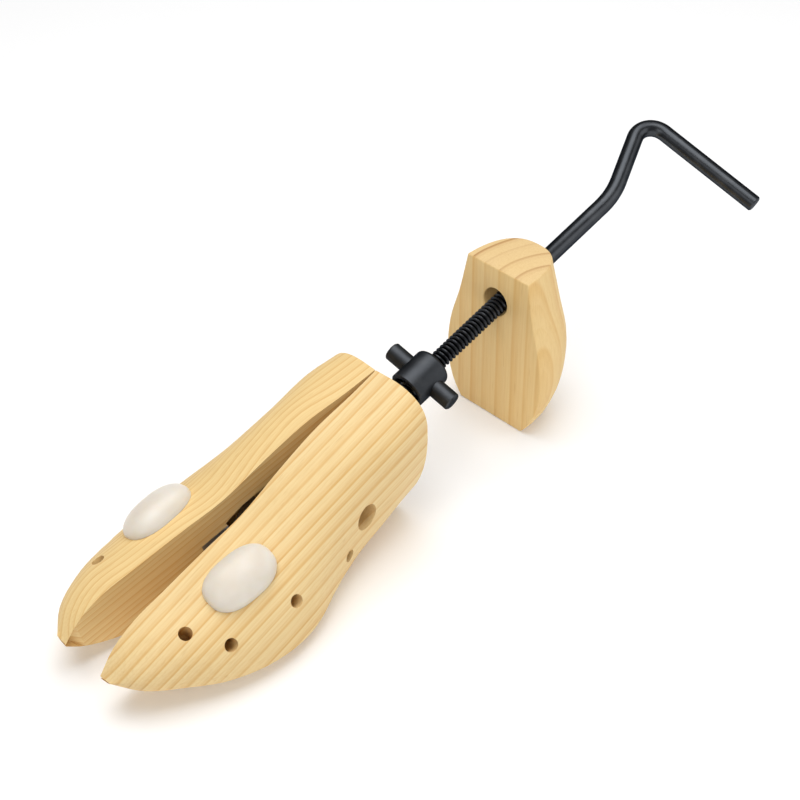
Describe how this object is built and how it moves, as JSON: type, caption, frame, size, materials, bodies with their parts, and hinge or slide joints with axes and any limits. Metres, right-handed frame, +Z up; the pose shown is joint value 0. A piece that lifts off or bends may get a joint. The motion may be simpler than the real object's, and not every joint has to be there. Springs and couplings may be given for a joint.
{
  "type": "shoe stretcher",
  "caption": "Two-way wooden shoe stretcher: a split last spread by a screw-driven wedge, a threaded rod with a bent handle, a length nut and a sliding heel block.",
  "frame": {"origin": "on the ground under the middle of the heel block's flat base, in the plane in which the last is sawn", "axes": "+X from the toe to the handle, +Y to the wearer's right, +Z up; the last's rear face stands at x = -78.64 mm"},
  "size_m": [0.3432, 0.0884, 0.0971],
  "materials": {
    "pine": "sanded, unvarnished",
    "black_steel": "black oxide, satin",
    "zinc_steel": "zinc plated",
    "ivory_plastic": "moulded, satin"
  },
  "bodies": {
    "core": {"trunnion_nut": "zinc_steel", "hinge_pins": "zinc_steel", "return_spring": "zinc_steel"},
    "left_half": {"left_last_half": "pine", "left_wear_plate": "zinc_steel", "left_plate_screws": "zinc_steel", "left_hinge_leaves": "zinc_steel", "left_hinge_screws": "zinc_steel", "left_spring_pin": "zinc_steel"},
    "right_half": {"right_last_half": "pine", "right_wear_plate": "zinc_steel", "right_plate_screws": "zinc_steel", "right_hinge_leaves": "zinc_steel", "right_hinge_screws": "zinc_steel", "right_spring_pin": "zinc_steel"},
    "wedge": {"spreader_wedge": "zinc_steel", "wedge_retaining_pins": "zinc_steel"},
    "spindle": {"spindle": "black_steel"},
    "nut": {"length_nut": "black_steel", "length_nut_arms": "black_steel"},
    "heel": {"heel_block": "pine"},
    "left_plug": {"left_pressure_plug": "ivory_plastic"},
    "right_plug": {"right_pressure_plug": "ivory_plastic"}
  },
  "joints": [
    {"name": "wedge_advance", "type": "slide", "parent": "core", "child": "wedge", "axis": [-0.9652, 0, -0.2613], "range_m": [-0.0113, 0.009]},
    {"name": "handle_turn", "type": "hinge", "parent": "wedge", "child": "spindle", "pos_m": [-0.07864, 0, 0.0395], "axis": [-0.9652, 0, -0.2613], "range_deg": [-2000, 1600]},
    {"name": "left_open", "type": "hinge", "parent": "core", "child": "left_half", "pos_m": [-0.07764, 0, 0], "axis": [0, 0, 1], "range_deg": [-3.9, 3.1], "deforming": ["return_spring"]},
    {"name": "right_open", "type": "hinge", "parent": "core", "child": "right_half", "pos_m": [-0.07764, 0, 0], "axis": [0, 0, -1], "range_deg": [-3.9, 3.1], "deforming": ["return_spring"]},
    {"name": "nut_travel", "type": "slide", "parent": "spindle", "child": "nut", "axis": [0.9652, 0, 0.2613], "range_m": [-0.005, 0.017]},
    {"name": "heel_slide", "type": "slide", "parent": "core", "child": "heel", "axis": [0.9652, 0, 0.2613], "range_m": [-0.017, 0.025]},
    {"name": "left_plug_pull", "type": "slide", "parent": "left_half", "child": "left_plug", "axis": [-0.1828, -0.4079, 0.8945], "range_m": [0, 0.012]},
    {"name": "right_plug_pull", "type": "slide", "parent": "right_half", "child": "right_plug", "axis": [-0.1828, 0.4079, 0.8945], "range_m": [0, 0.012]}
  ],
  "couplings": [
    {"joint": "wedge_advance", "follows": "handle_turn", "m_per_rad": 0.00031831},
    {"joint": "left_open", "follows": "handle_turn", "ratio": 0.00193},
    {"joint": "right_open", "follows": "handle_turn", "ratio": 0.00193}
  ]
}
